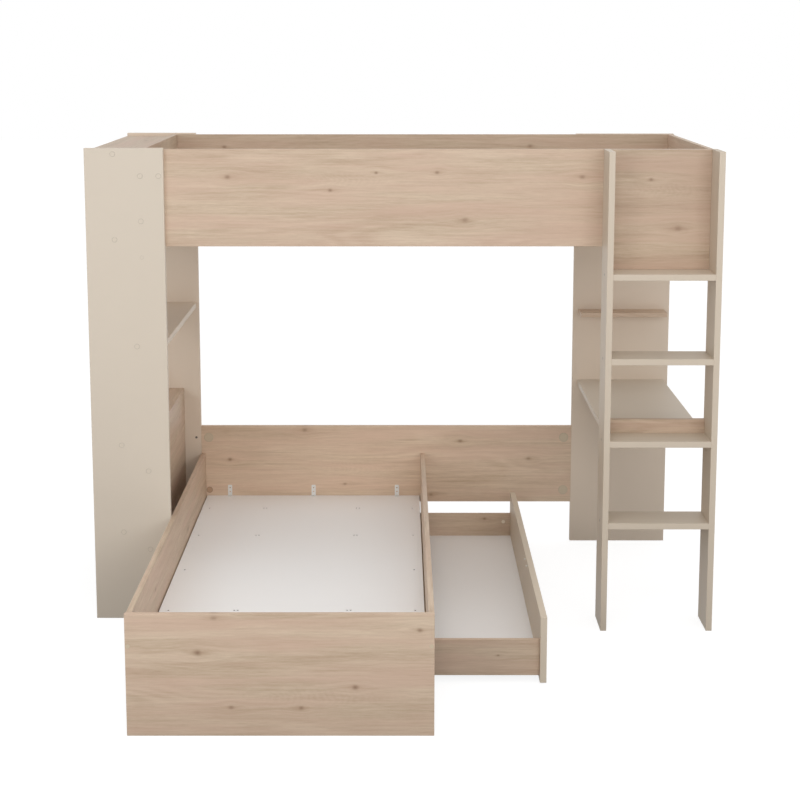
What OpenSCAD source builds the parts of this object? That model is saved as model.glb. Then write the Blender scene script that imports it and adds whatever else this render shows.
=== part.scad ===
// L-shaped bunk bed of flat boards: an upper bed on a shelf tower, a ladder and a leg panel,
// a lower bed set at right angles under it, a castor drawer, and a desk at the ladder's side.
// Millimetres. The origin is on the floor under the middle of the overall box, +Z is up,
// X runs along the upper bed and -Y faces the viewer.

/* [Overall] */
// Width over the shelf tower and the ladder
overall_w = 2275; // [2265:5:2290]
// Depth over the lower bed's front board and the rear panels
overall_d = 2076; // [2070:2:2082]
// Height of the tower's uprights
overall_h = 1755; // [1750:5:1765]

/* [Boards] */
// Thickness of the beige panels and of the ladder
panel_t = 22; // [21:1:23]
// Thickness of the oak boards
board_t = 18; // [17:1:19]
// Thickness of the white bed bases
base_t = 16; // [14:1:16]
// Thickness of the drawer's box boards
drawer_t = 15; // [14:1:16]
// Chamfer along every board edge
edge_c = 0.8; // [0.4:0.2:1.2]

/* [Shelf tower] */
// Width of the tower's uprights
tower_w = 284; // [280:2:288]
// Depth of the niche from its open side to the upper bed's end board
niche_d = 191; // [189:1:193]
// Depth of the low cabinet from its open side to its back panel
cabinet_d = 197; // [195:1:199]
// Middle height of the top board
top_board_z = 1734; // [1730:1:1738]
// Middle height of the niche's floor board
niche_board_z = 1425; // [1420:1:1430]
// Middle height of the middle shelf
middle_shelf_z = 1033; // [1000:1:1060]
// Width of the middle shelf
middle_shelf_w = 198; // [190:2:200]
// Middle height of the cabinet's top board
cabinet_top_z = 664; // [655:1:680]
// Middle height of the cabinet's shelf
cabinet_shelf_z = 333; // [300:1:360]

/* [Upper bed] */
// Depth over the tower's front and rear faces
upper_d = 1003; // [1000:1:1006]
// Clear length between the end boards
bed_inner_l = 2038; // [2030:2:2042]
// Lower edge of the front and back boards
upper_z = 1398; // [1390:2:1404]
// Height of the front and back boards
upper_h = 352; // [340:2:356]
// Height of the left end board, which reaches lower
left_end_h = 415; // [405:5:415]

/* [Lower bed] */
// Width over the side rails
lower_w = 956; // [950:1:960]
// Height of the front board
lower_front_h = 395; // [390:1:400]
// Lower edge of the side rails
rail_z = 160; // [158:1:164]
// Top edge of the side rails
rail_top = 388; // [380:1:392]
// Lower edge of the board between the rear panels
low_back_z = 174; // [172:1:180]
// Height of that board
low_back_h = 333; // [320:1:340]

/* [Ladder] */
// Clear width between the ladder's rails
ladder_inner_w = 364; // [360:1:366]
// Depth of the rails and steps
ladder_d = 160; // [150:2:166]
// Height of the rails
ladder_h = 1751; // [1750:1:1755]
// Top of the lowest step
step_1_z = 406; // [400:1:410]
// Top of the second step, level with the desk
step_2_z = 710; // [705:1:720]
// Top of the third step
step_3_z = 1012; // [1005:1:1020]
// Top of the fourth step
step_4_z = 1317; // [1310:1:1320]
// Height of the oak strip that stands on the desk-level step
strip_h = 51; // [45:1:60]

/* [Desk] */
// Width of the leg panel behind the desk
rear_panel_w = 405; // [400:1:408]
// Height of that panel
rear_panel_h = 1752; // [1750:1:1755]
// Width of the small wall shelf
wall_shelf_w = 360; // [340:2:360]
// Depth of the wall shelf
wall_shelf_d = 100; // [90:5:110]
// Top of the wall shelf
wall_shelf_z = 1013; // [1000:1:1030]

/* [Drawer] */
// Length of the drawer's front, along Y
drawer_l = 1563; // [1550:1:1566]
// Distance from the lower bed's front face to the drawer's near end
drawer_y = 421; // [420:1:424]
// Depth of the box behind its front, along X
drawer_d = 850; // [800:10:860]
// How far the drawer is pulled out in the modelled pose
drawer_open = 357; // [300:1:396]
// Clearance under the front
drawer_front_z = 5; // [4:1:8]
// Top edge of the front
drawer_front_top = 234; // [230:1:238]
// Lower edge of the box boards
drawer_box_z = 24; // [22:1:26]
// Top edge of the box boards
drawer_box_top = 150; // [146:1:152]
// Top face of the drawer's bottom
drawer_bottom_top = 54; // [52:1:56]
// Castor wheel diameter
wheel_dia = 38; // [36:1:39]

/* [Fasteners] */
// Diameter of the large cover caps
cap_dia = 20; // [16:1:22]
// Diameter of the small cover caps
small_cap_dia = 14; // [12:1:15]
// Diameter of the caps on the low back board
corner_cap_dia = 40; // [30:1:42]
// Diameter of that board's cap beside the lower bed's rail
rail_cap_dia = 27; // [26:0.5:27]
// Dowel diameter
dowel_dia = 8; // [6:1:8]
// Gap all round between a fastener and its hole
fit = 0.05; // [0.05:0.01:0.1]

/* [Hidden] */
$fn = 48;

// Outer limits and the planes that the boards share
left = -overall_w / 2;
right = overall_w / 2;
front = -overall_d / 2;
back = overall_d / 2;
tower_x = left + tower_w;
tower_y = back - upper_d;
behind_tower = tower_y + panel_t;
rear_y = back - panel_t;
box_front_y = behind_tower + board_t;
box_back_y = rear_y - board_t;
end_left_x = left + niche_d;
bed_left_x = end_left_x + board_t;
bed_right_x = bed_left_x + bed_inner_l;
end_right_x = bed_right_x + board_t;
upper_top = upper_z + upper_h;
low_top = low_back_z + low_back_h;
middle_shelf_in = 10;

lower_x = tower_x;
lower_x2 = lower_x + lower_w;
rail_in_x = lower_x + board_t;
rail_in_x2 = lower_x2 - board_t;
rail_y = front + board_t;

rear_panel_x = right - 408;
rear_panel_x2 = rear_panel_x + rear_panel_w;
ladder_x2 = right - panel_t;
ladder_x = ladder_x2 - ladder_inner_w;
ladder_out_x = ladder_x - panel_t;
ladder_y = behind_tower - ladder_d;
step_z = [step_1_z, step_2_z, step_3_z, step_4_z];

// Bed bases: cleats along the sides, battens across, a white panel on top
base_gap = 4;
cleat_w = 50;
cleat_h = 26;
batten_w = 60;
batten_gap = 0.5;
rear_batten_in = 8;
cleat_end_in = 84;
row_in = [567, 1012, 1449, 1836];
batten_rows = [0, 2];
col_in = [35, 268, 656, 884];
pair_step = 6;
lower_base_z = rail_z + cleat_h;
upper_base_z = upper_z + cleat_h;
cleat_end_y = rail_y + row_in[3] - 36;
lower_base_top = lower_base_z + base_t;
upper_base_top = upper_base_z + base_t;
bracket_x = [lower_x + 120, lower_x + 479, lower_x + 837];
bracket_w = 18;
bracket_h = 46;
bracket_foot = 20;
bracket_t = 2;

// Drawer, at the place where the photo shows it
drawer_front_y = front + drawer_y;
drawer_front_y2 = drawer_front_y + drawer_l;
bumper_t = 6;
bumper_r = 3.5;
drawer_in_x = lower_x2 + bumper_t + 0.2 + drawer_open;
drawer_out_x = drawer_in_x + panel_t;
side_set = 20;
box_y = drawer_front_y + side_set;
box_y2 = drawer_front_y2 - side_set;
box_x = drawer_in_x - drawer_d;
groove = 6;
bottom_t = 10;
bottom_z = drawer_bottom_top - bottom_t;
bottom_l = drawer_d - drawer_t + 2 * groove;
bottom_w = box_y2 - box_y - 2 * drawer_t + 2 * groove;
bumper_pin_r = 2.5;
BUMPERS = [for (s = [-42, 42]) [front + 1063 + s, drawer_front_top - 15]];
wheel_r = wheel_dia / 2;
wheel_w = 16;
axle_r = 3;
cheek_t = 2.4;
cheek_gap = 1;
plate_t = 2.5;
castor_x = [box_x + 85, drawer_in_x - 65];
castor_y = [box_y + 90, box_y2 - 90];
CASTORS = [for (x = castor_x, y = castor_y) [x, y]];
CASTOR_SCREWS = [for (x = [-20, 20], y = [-14, 14]) [x, y]];
castor_screw_r = 1.6;
castor_screw_in = 7;

// Screw sizes: [cap radius, cap sink, cap height above the face, head radius, shank radius, length]
CONNECTOR = [cap_dia / 2, 1.5, 0.9, 5, 3.5, 50];
FLUSH = [cap_dia / 2, 1.5, 0, 5, 3.5, 50];
SMALL = [small_cap_dia / 2, 1.2, 0, 5, 3.5, 50];
BARE = [0, 0, 0, 5.5, 3.5, 50];
FACE = [cap_dia / 2, 1.5, 0.9, 5, 3, 33];
FACE_FLUSH = [cap_dia / 2, 1.5, 0, 5, 3, 33];
FACE_BARE = [0, 0, 0, 5, 3, 33];
BASE = [0, 0, 0, 5, 2, 34];
BRACKET = [0, 0, 0, 3, 1.6, 14];
CLEAT = [0, 0, 0, 4.5, 2.5, 61];
head_h = 3.5;

// Every screw is [size, point on the face, direction into the wood]
flat_ends = [[left + 103, top_board_z], [left + 103, niche_board_z],
    [left + 109, cabinet_top_z], [left + 109, cabinet_shelf_z],
    [tower_x - middle_shelf_in - middle_shelf_w / 2, middle_shelf_z]];
upright_ends = [[end_left_x + board_t / 2, upper_top - 95], [end_left_x + board_t / 2, upper_top - 258],
    [left + cabinet_d + board_t / 2, 566], [left + cabinet_d + board_t / 2, 267]];
tower_ends = concat(flat_ends, upright_ends);
small_end = [end_left_x + board_t / 2, upper_z - 38];
face_end = [tower_x - 18, upper_top - 95];
rail_xs = [lower_x + board_t / 2, lower_x2 - board_t / 2];
rail_screw_z = 291;
end_screws_z = [upper_z + 100, upper_top - 110];
desk_xs = [ladder_x + 80, ladder_x2 - 80];
step_mid_y = behind_tower - ladder_d / 2;

CONNECTORS = concat(
    [for (p = tower_ends) [CONNECTOR, [p[0], tower_y, p[1]], [0, 1, 0]]],
    [for (p = tower_ends) [FLUSH, [p[0], back, p[1]], [0, -1, 0]]],
    [[SMALL, [small_end[0], tower_y, small_end[1]], [0, 1, 0]]],
    [for (x = rail_xs) [SMALL, [x, front, rail_screw_z], [0, 1, 0]]],
    [for (x = rail_xs) [BARE, [x, back, rail_screw_z], [0, -1, 0]]],
    [for (z = step_z) [BARE, [ladder_out_x, step_mid_y, z - panel_t / 2], [1, 0, 0]]],
    [for (z = step_z) [BARE, [right, step_mid_y, z - panel_t / 2], [-1, 0, 0]]],
    [for (z = end_screws_z) [BARE, [end_right_x - board_t / 2, behind_tower, z], [0, 1, 0]]],
    [for (z = end_screws_z) [BARE, [end_right_x - board_t / 2, rear_y, z], [0, -1, 0]]],
    [for (x = desk_xs) [FLUSH, [x, back, step_2_z - panel_t / 2], [0, -1, 0]]],
    [for (x = desk_xs) [FLUSH, [x, back, wall_shelf_z - board_t / 2], [0, -1, 0]]]);
FACE_SCREWS = concat(
    [[FACE, [face_end[0], tower_y, face_end[1]], [0, 1, 0]],
     [FACE_FLUSH, [face_end[0], back, face_end[1]], [0, -1, 0]]],
    [for (x = [ladder_x + 50, ladder_x2 - 70], z = end_screws_z)
        [FACE_BARE, [x, box_front_y, z], [0, -1, 0]]],
    [for (x = [rear_panel_x + 50, rear_panel_x2 - 80], z = end_screws_z)
        [FACE_BARE, [x, box_back_y, z], [0, 1, 0]]]);
lower_cleat_z = rail_z + cleat_h / 2;
upper_cleat_z = upper_z + cleat_h / 2;
cleat_ys = [for (i = [0 : 4]) front + 200 + 350 * i];
cleat_xs = [for (i = [0 : 4]) bed_left_x + 200 + 400 * i];
CLEAT_SCREWS = concat(
    [for (y = cleat_ys) [CLEAT, [rail_in_x + cleat_w, y, lower_cleat_z], [-1, 0, 0]]],
    [for (y = cleat_ys) [CLEAT, [rail_in_x2 - cleat_w, y, lower_cleat_z], [1, 0, 0]]],
    [for (x = cleat_xs) [CLEAT, [x, box_front_y + cleat_w, upper_cleat_z], [0, -1, 0]]],
    [for (x = cleat_xs) [CLEAT, [x, box_back_y - cleat_w, upper_cleat_z], [0, 1, 0]]]);

// The outer columns hold the base at every row, the middle ones have a pair of screws at each batten
lower_marks = concat(
    [for (c = [0, 3], r = row_in) [rail_in_x + col_in[c], rail_y + r]],
    [for (c = [1, 2], r = [0, 2, 3], s = [-1, 1])
        [rail_in_x + col_in[c] + s * pair_step, rail_y + row_in[r]]]);
upper_marks = concat(
    [for (c = [0, 3], r = row_in) [bed_left_x + r, box_front_y + col_in[c]]],
    [for (c = [1, 2], r = [0, 2, 3], s = [-1, 1])
        [bed_left_x + row_in[r], box_front_y + col_in[c] + s * pair_step]]);
BASE_SCREWS = concat(
    [for (p = lower_marks) [BASE, [p[0], p[1], lower_base_top], [0, 0, -1]]],
    [for (p = upper_marks) [BASE, [p[0], p[1], upper_base_top], [0, 0, -1]]],
    [for (x = bracket_x) [BRACKET, [x, rear_y - bracket_t, lower_base_top + 34], [0, 1, 0]]],
    [for (x = bracket_x) [BRACKET, [x, rear_y - bracket_foot / 2 - bracket_t, lower_base_top + bracket_t],
        [0, 0, -1]]]);
SCREWS = concat(CONNECTORS, FACE_SCREWS, CLEAT_SCREWS, BASE_SCREWS);

// Every dowel is [middle point on the joint, axis, half length]
deep = 15;
short = 11;
DOWELS = concat(
    [for (p = flat_ends, y = [behind_tower, rear_y], s = [-1, 1])
        [[p[0] + s * 60, y, p[1]], [0, 1, 0], deep]],
    [for (p = upright_ends, y = [behind_tower, rear_y], s = [-1, 1])
        [[p[0], y, p[1] + s * 40], [0, 1, 0], deep]],
    [for (y = [behind_tower + board_t / 2, rear_y - board_t / 2], z = [upper_z + 60, upper_top - 50])
        [[bed_left_x, y, z], [1, 0, 0], short]],
    [for (y = [box_front_y, box_back_y], z = [upper_z + 50, upper_top - 50])
        [[end_right_x - board_t / 2, y, z], [0, 1, 0], short]],
    [for (z = step_z, x = [ladder_x, ladder_x2], s = [-1, 1])
        [[x, step_mid_y + s * 50, z - panel_t / 2], [1, 0, 0], deep]],
    [for (x = [ladder_x, ladder_x2], z = [step_4_z + 60, upper_top - 60])
        [[x, tower_y + panel_t / 2, z], [1, 0, 0], deep]],
    [for (x = [ladder_x + 40, ladder_x2 - 40], y = [behind_tower, rear_y])
        [[x, y, step_2_z - panel_t / 2], [0, 1, 0], deep]],
    [for (x = [ladder_x + 40, ladder_x + wall_shelf_w - 40])
        [[x, rear_y, wall_shelf_z - board_t / 2], [0, 1, 0], deep]],
    [for (x = desk_xs) [[x, tower_y + panel_t / 2, step_2_z], [0, 0, 1], deep]],
    [for (x = rail_xs, y = [rail_y, rear_y]) [[x, y, rail_screw_z - 80], [0, 1, 0], short]],
    [for (x = [tower_x, rear_panel_x]) [[x, rear_y + panel_t / 2, low_back_z + 166], [1, 0, 0], deep]]);
DRAWER_DOWELS = concat(
    [for (y = [box_y, box_y2 - drawer_t]) [[drawer_in_x, y + drawer_t / 2, 82], [1, 0, 0], deep]],
    [for (y = [box_y + drawer_t, box_y2 - drawer_t]) [[box_x + drawer_t / 2, y, 82], [0, 1, 0], short]],
    [for (x = [box_x + drawer_t, drawer_in_x])
        [[x, (box_y + box_y2) / 2, (drawer_box_z + bottom_z) / 2], [1, 0, 0], short]]);

// Every cam is [middle of its mouth, direction into the wood, direction of its bolt, bolt length]
cam_r = 7.5;
cam_h = 11;
cam_bolt_r = 3;
cam_in = 30;
DESK_CAMS = [for (x = desk_xs) [[x + 60, behind_tower + cam_in, step_2_z - panel_t], [0, 0, 1], [0, -1, 0]]];
DRAWER_CAMS = concat(
    [[[drawer_in_x - cam_in, box_y + drawer_t, 115], [0, -1, 0], [1, 0, 0]],
     [[drawer_in_x - cam_in, box_y2 - drawer_t, 115], [0, 1, 0], [1, 0, 0]]],
    [[[box_x + drawer_t, box_y + drawer_t + cam_in, 115], [-1, 0, 0], [0, -1, 0]],
     [[box_x + drawer_t, box_y2 - drawer_t - cam_in, 115], [-1, 0, 0], [0, 1, 0]]]);
CAMS = concat(DESK_CAMS, DRAWER_CAMS);
cam_bolt_l = cam_in + 9;

// Bolts of the low back board: [x of the joint, direction from the pocket to the nut, height, cap radius]
corner_pocket_in = 32;
corner_nut_in = 21;
corner_z = [low_back_z + 52, low_top - 50];
CORNERS = [for (j = [[tower_x, -1], [rear_panel_x, 1]], z = corner_z)
    [j[0], j[1], z, (j[1] < 0 && z == corner_z[0] ? rail_cap_dia : corner_cap_dia) / 2]];
corner_reach = corner_pocket_in + corner_nut_in;
pocket_r = 12.5;
pocket_h = 17;
corner_bolt_r = 3;
bolt_head_z = 1.2 - pocket_r;
nut_r = 5;

function turn(d) = d == [0, 1, 0] ? [90, 0, 0] : d == [0, -1, 0] ? [-90, 0, 0]
    : d == [1, 0, 0] ? [0, -90, 0] : d == [-1, 0, 0] ? [0, 90, 0] : d == [0, 0, -1] ? [0, 0, 0] : [180, 0, 0];
function crosses(p, q, r, lo, hi) = min([for (a = [0 : 2])
    min(p[a], q[a]) - (p[a] == q[a] ? r : -0.01) < hi[a]
        && max(p[a], q[a]) + (p[a] == q[a] ? r : -0.01) > lo[a] ? 1 : 0]) == 1;

// Puts a shape whose +Z points out of the wood at a point of a face
module at(p, d) translate(p) rotate(turn(d)) children();

// Board with a fine chamfer along every edge, from its low corner to its high corner
module edged(a, b) polygon([[edge_c, 0], [a - edge_c, 0], [a, edge_c], [a, b - edge_c],
    [a - edge_c, b], [edge_c, b], [0, b - edge_c], [0, edge_c]]);
module board(lo, hi) {
    s = hi - lo;
    translate(lo) intersection() {
        linear_extrude(s[2]) edged(s[0], s[1]);
        translate([0, s[1], 0]) rotate([90, 0, 0]) linear_extrude(s[1]) edged(s[0], s[2]);
        rotate([90, 0, 90]) linear_extrude(s[0]) edged(s[1], s[2]);
    }
}

// The hole that each fastener leaves
module screw_hole(k) {
    if (k[0] > 0) translate([0, 0, -k[1]]) cylinder(h = k[1] + 0.5, r = k[0] + fit);
    translate([0, 0, -k[1] - head_h]) cylinder(h = k[1] + head_h + 0.5, r = k[3] + fit);
    translate([0, 0, -k[5] - 0.5]) cylinder(h = k[5], r = k[4] + fit);
}
module pin_hole(l, r) translate([0, 0, -l / 2]) cylinder(h = l, r = r + fit);
module cam_hole(c) {
    at(c[0], c[1]) translate([0, 0, -cam_h]) cylinder(h = cam_h + 0.5, r = cam_r + fit);
    at(c[0] + c[1] * cam_h / 2, c[2]) translate([0, 0, -cam_bolt_l - 0.5])
        cylinder(h = cam_bolt_l, r = cam_bolt_r + fit);
}
module at_nut(c) at([c[0] + c[1] * corner_nut_in, c[1] < 0 ? rear_y : back, c[2]], [0, -c[1], 0]) children();
module corner_hole(c) {
    in_x = c[0] - c[1] * corner_pocket_in;
    at([in_x, rear_y, c[2]], [0, 1, 0]) {
        translate([0, 0, -pocket_h]) cylinder(h = pocket_h + 0.5, r = pocket_r + fit);
        translate([0, 0, -1]) cylinder(h = 1.5, r = c[3] + fit);
    }
    at([in_x, rear_y + panel_t / 2, c[2]], [c[1], 0, 0]) translate([0, 0, -corner_reach - 8])
        cylinder(h = corner_reach + 8, r = corner_bolt_r + fit);
    at_nut(c) translate([0, 0, -17]) cylinder(h = 17.5, r = nut_r + fit);
}

// A board with the holes of every fastener that crosses it
module drilled(lo, hi) difference() {
    board(lo, hi);
    for (s = SCREWS) if (crosses(s[1], s[1] + s[2] * s[0][5], max(s[0][0], s[0][3]), lo, hi))
        at(s[1], s[2]) screw_hole(s[0]);
    for (d = concat(DOWELS, DRAWER_DOWELS))
        if (crosses(d[0] - d[1] * d[2], d[0] + d[1] * d[2], dowel_dia / 2, lo, hi))
            at(d[0], d[1]) pin_hole(2 * d[2] + 1, dowel_dia / 2);
    for (c = CAMS)
        if (crosses(c[0] - c[2] * cam_r, c[0] + c[2] * cam_bolt_l + c[1] * cam_h, cam_r, lo, hi)) cam_hole(c);
    for (c = CORNERS)
        if (crosses([c[0] - 60, rear_y, c[2]], [c[0] + 60, back, c[2]], c[3], lo, hi))
            corner_hole(c);
}

// Fastener solids
module screw(k) {
    translate([0, 0, -k[1] - head_h]) difference() {
        cylinder(h = head_h, r = k[3]);
        translate([0, 0, head_h - 2.2]) cylinder(h = 3, r = k[3] * 0.5, $fn = 6);
    }
    translate([0, 0, -k[5]]) cylinder(h = k[5] - k[1] - head_h + 0.01, r = k[4]);
}
module cap(k) translate([0, 0, -k[1]]) {
    rotate_extrude() polygon(k[2] > 0
        ? [[0, 0], [k[0], 0], [k[0], k[1] + 0.1], [k[0] - 1, k[1] + k[2]], [0.45 * k[0], k[1] + k[2]],
            [0.4 * k[0], k[1] + k[2] - 0.4], [0, k[1] + k[2] - 0.4]]
        : [[0, 0], [k[0], 0], [k[0], k[1] - 0.3], [k[0] - 0.3, k[1]], [0, k[1]]]);
}
module dowel(l) rotate_extrude() polygon([[0, -l / 2], [dowel_dia / 2 - 0.8, -l / 2],
    [dowel_dia / 2, 1 - l / 2], [dowel_dia / 2, l / 2 - 1], [dowel_dia / 2 - 0.8, l / 2], [0, l / 2]]);
module cam(c) at(c[0], c[1]) translate([0, 0, -cam_h + 0.3]) difference() {
    cylinder(h = cam_h - 0.4, r = cam_r);
    for (a = [0, 90]) rotate([0, 0, a]) translate([-4, -0.8, cam_h - 2.4]) cube([8, 1.6, 3]);
}
module cam_bolt(c) at(c[0] + c[1] * cam_h / 2, c[2]) translate([0, 0, -cam_bolt_l])
    cylinder(h = cam_bolt_l - cam_r - 0.1, r = cam_bolt_r);

// Shelf tower
module tower_front_panel() color("#d6c9b8")
    drilled([left, tower_y, 0], [tower_x, behind_tower, overall_h]);
module tower_rear_panel() color("#d6c9b8")
    drilled([left, rear_y, 0], [tower_x, back, overall_h]);
module tower_board(z, x2, t) drilled([left, behind_tower, z - t / 2], [x2, rear_y, z + t / 2]);
module tower_top_board() color("#cdb497") tower_board(top_board_z, end_left_x, board_t);
module tower_niche_board() color("#cdb497") tower_board(niche_board_z, end_left_x, board_t);
module cabinet_top_board() color("#cdb497") tower_board(cabinet_top_z, left + cabinet_d, board_t);
module cabinet_shelf() color("#cdb497") tower_board(cabinet_shelf_z, left + cabinet_d, board_t);
module cabinet_back_panel() color("#cdb497") drilled([left + cabinet_d, behind_tower, 0],
    [left + cabinet_d + board_t, rear_y, cabinet_top_z + board_t / 2]);
module tower_middle_shelf() color("#d6c9b8")
    drilled([tower_x - middle_shelf_in - middle_shelf_w, behind_tower, middle_shelf_z - panel_t / 2],
        [tower_x - middle_shelf_in, rear_y, middle_shelf_z + panel_t / 2]);

// Upper bed
module upper_front_board() color("#cdb497")
    drilled([bed_left_x, behind_tower, upper_z], [rear_panel_x2, box_front_y, upper_top]);
module upper_back_board() color("#cdb497")
    drilled([bed_left_x, box_back_y, upper_z], [rear_panel_x2, rear_y, upper_top]);
module upper_end_board_left() color("#cdb497")
    drilled([end_left_x, behind_tower, upper_top - left_end_h], [bed_left_x, rear_y, upper_top]);
module upper_end_board_right() color("#cdb497")
    drilled([bed_right_x, box_front_y, upper_z], [end_right_x, box_back_y, upper_top]);
module upper_base_supports() color("#cbb08a") {
    drilled([bed_left_x + 20, box_front_y, upper_z], [bed_right_x - 20, box_front_y + cleat_w, upper_base_z]);
    drilled([bed_left_x + 20, box_back_y - cleat_w, upper_z], [bed_right_x - 20, box_back_y, upper_base_z]);
    for (r = concat(batten_rows, [3]))
        drilled([bed_left_x + row_in[r] - batten_w / 2, box_front_y + cleat_w + batten_gap, upper_z],
            [bed_left_x + row_in[r] + batten_w / 2, box_back_y - cleat_w - batten_gap, upper_base_z]);
}
module upper_base_panel() color("#f2f0ee")
    drilled([bed_left_x + base_gap, box_front_y + base_gap, upper_base_z],
        [bed_right_x - base_gap, box_back_y - base_gap, upper_base_top]);

// Lower bed
module lower_front_board() color("#cdb497")
    drilled([lower_x, front, 0], [lower_x2, rail_y, lower_front_h]);
module lower_rail_left() color("#cdb497")
    drilled([lower_x, rail_y, rail_z], [rail_in_x, rear_y, rail_top]);
module lower_rail_right() color("#cdb497")
    drilled([rail_in_x2, rail_y, rail_z], [lower_x2, rear_y, rail_top]);
module low_back_board() color("#cdb497")
    drilled([tower_x, rear_y, low_back_z], [rear_panel_x, back, low_top]);
module lower_base_supports() color("#cbb08a") {
    drilled([rail_in_x, rail_y + cleat_end_in, rail_z], [rail_in_x + cleat_w, cleat_end_y, lower_base_z]);
    drilled([rail_in_x2 - cleat_w, rail_y + cleat_end_in, rail_z], [rail_in_x2, cleat_end_y, lower_base_z]);
    for (r = batten_rows)
        drilled([rail_in_x + cleat_w + batten_gap, rail_y + row_in[r] - batten_w / 2, rail_z],
            [rail_in_x2 - cleat_w - batten_gap, rail_y + row_in[r] + batten_w / 2, lower_base_z]);
    drilled([rail_in_x + rear_batten_in, rail_y + row_in[3] - batten_w / 2, rail_z],
        [rail_in_x2 - rear_batten_in, rail_y + row_in[3] + batten_w / 2, lower_base_z]);
}
module lower_base_panel() color("#f2f0ee")
    drilled([rail_in_x + base_gap, rail_y + base_gap / 2, lower_base_z],
        [rail_in_x2 - base_gap, rear_y - base_gap / 2, lower_base_top]);
module base_brackets() color("#d9dadb") for (x = bracket_x) difference() {
    translate([x - bracket_w / 2, rear_y, lower_base_top]) rotate([90, 0, 90]) linear_extrude(bracket_w)
        polygon([[0, 0], [0, bracket_h], [-bracket_t, bracket_h], [-bracket_t, bracket_t],
            [-bracket_foot - bracket_t, bracket_t], [-bracket_foot - bracket_t, 0]]);
    for (s = BASE_SCREWS) if (s[0] == BRACKET && s[1][0] == x) at(s[1], s[2]) screw_hole(s[0]);
}

// Ladder
module ladder_rail_left() color("#d6c9b8")
    drilled([ladder_out_x, ladder_y, 0], [ladder_x, behind_tower, ladder_h]);
module ladder_rail_right() color("#d6c9b8")
    drilled([ladder_x2, ladder_y, 0], [right, behind_tower, ladder_h]);
module ladder_step(z) color("#d6c9b8")
    drilled([ladder_x, ladder_y, z - panel_t], [ladder_x2, behind_tower, z]);
module ladder_step_1() ladder_step(step_1_z);
module ladder_step_2() ladder_step(step_2_z);
module ladder_step_3() ladder_step(step_3_z);
module ladder_step_4() ladder_step(step_4_z);
module ladder_upper_board() color("#cdb497")
    drilled([ladder_x, tower_y, step_4_z], [ladder_x2, behind_tower, upper_top]);
module ladder_desk_strip() color("#cdb497")
    drilled([ladder_x, tower_y, step_2_z], [ladder_x2, behind_tower, step_2_z + strip_h]);

// Desk
module desk_top() color("#d6c9b8")
    drilled([ladder_x, behind_tower, step_2_z - panel_t], [ladder_x2, rear_y, step_2_z]);
module desk_rear_panel() color("#d6c9b8")
    drilled([rear_panel_x, rear_y, 0], [rear_panel_x2, back, rear_panel_h]);
module wall_shelf() color("#cdb497")
    drilled([ladder_x, rear_y - wall_shelf_d, wall_shelf_z - board_t],
        [ladder_x + wall_shelf_w, rear_y, wall_shelf_z]);

// Frame fasteners
module connector_screws() color("#b8b9ba") for (s = CONNECTORS) at(s[1], s[2]) screw(s[0]);
module face_screws() color("#b8b9ba") for (s = FACE_SCREWS) at(s[1], s[2]) screw(s[0]);
module cover_caps() color("#cfc3b2") {
    for (s = concat(CONNECTORS, FACE_SCREWS)) if (s[0][0] > 0) at(s[1], s[2]) cap(s[0]);
    for (c = CORNERS) at([c[0] - c[1] * corner_pocket_in, rear_y, c[2]], [0, 1, 0])
        cap([c[3], 1, 0.9]);
}
module dowels() color("#e0c79c") for (d = DOWELS) at(d[0], d[1]) dowel(2 * d[2]);
module base_screws() color("#d9dadb") for (s = BASE_SCREWS) at(s[1], s[2]) screw(s[0]);
module cleat_screws() color("#b8b9ba") for (s = CLEAT_SCREWS) at(s[1], s[2]) screw(s[0]);
module desk_cams() color("#b8b9ba") for (c = DESK_CAMS) cam(c);
module desk_cam_bolts() color("#b8b9ba") for (c = DESK_CAMS) cam_bolt(c);
module corner_bolts() color("#b8b9ba") for (c = CORNERS)
    at([c[0] - c[1] * corner_pocket_in, rear_y + panel_t / 2, c[2]], [c[1], 0, 0]) {
        translate([0, 0, bolt_head_z]) difference() {
            cylinder(h = 5, r = 4.9);
            translate([0, 0, 2.5]) cylinder(h = 3, r = 2.5, $fn = 6);
        }
        translate([0, 0, -corner_reach - 4])
            cylinder(h = corner_reach + 4.1 + bolt_head_z, r = corner_bolt_r);
    }
module barrel_nuts() color("#8f8a84") for (c = CORNERS)
    at_nut(c) difference() {
        translate([0, 0, -16.5]) cylinder(h = 16, r = nut_r);
        translate([-6, 0, -panel_t / 2]) rotate([0, 90, 0]) cylinder(h = 12, r = corner_bolt_r + fit);
        translate([-4, -0.6, -1.5]) cube([8, 1.2, 2]);
    }

// Drawer
module drawer_front() color("#d6c9b8") difference() {
    drilled([drawer_in_x, drawer_front_y, drawer_front_z], [drawer_out_x, drawer_front_y2, drawer_front_top]);
    bottom_groove();
    for (b = BUMPERS) at([drawer_in_x, b[0], b[1]], [1, 0, 0])
        translate([0, 0, -9]) cylinder(h = 9.5, r = bumper_pin_r + fit);
}
module bottom_sheet(gap)
    translate([box_x + drawer_t - groove - gap, box_y + drawer_t - groove - gap, bottom_z - gap])
        cube([bottom_l + 2 * gap, bottom_w + 2 * gap, bottom_t + 2 * gap]);
module bottom_groove() bottom_sheet(0.1);
module drawer_side(y) color("#cdb497") difference() {
    drilled([box_x, y, drawer_box_z], [drawer_in_x, y + drawer_t, drawer_box_top]);
    bottom_groove();
}
module drawer_side_front() drawer_side(box_y);
module drawer_side_rear() drawer_side(box_y2 - drawer_t);
module drawer_back() color("#cdb497") difference() {
    drilled([box_x, box_y + drawer_t, drawer_box_z], [box_x + drawer_t, box_y2 - drawer_t, drawer_box_top]);
    bottom_groove();
}
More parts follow.
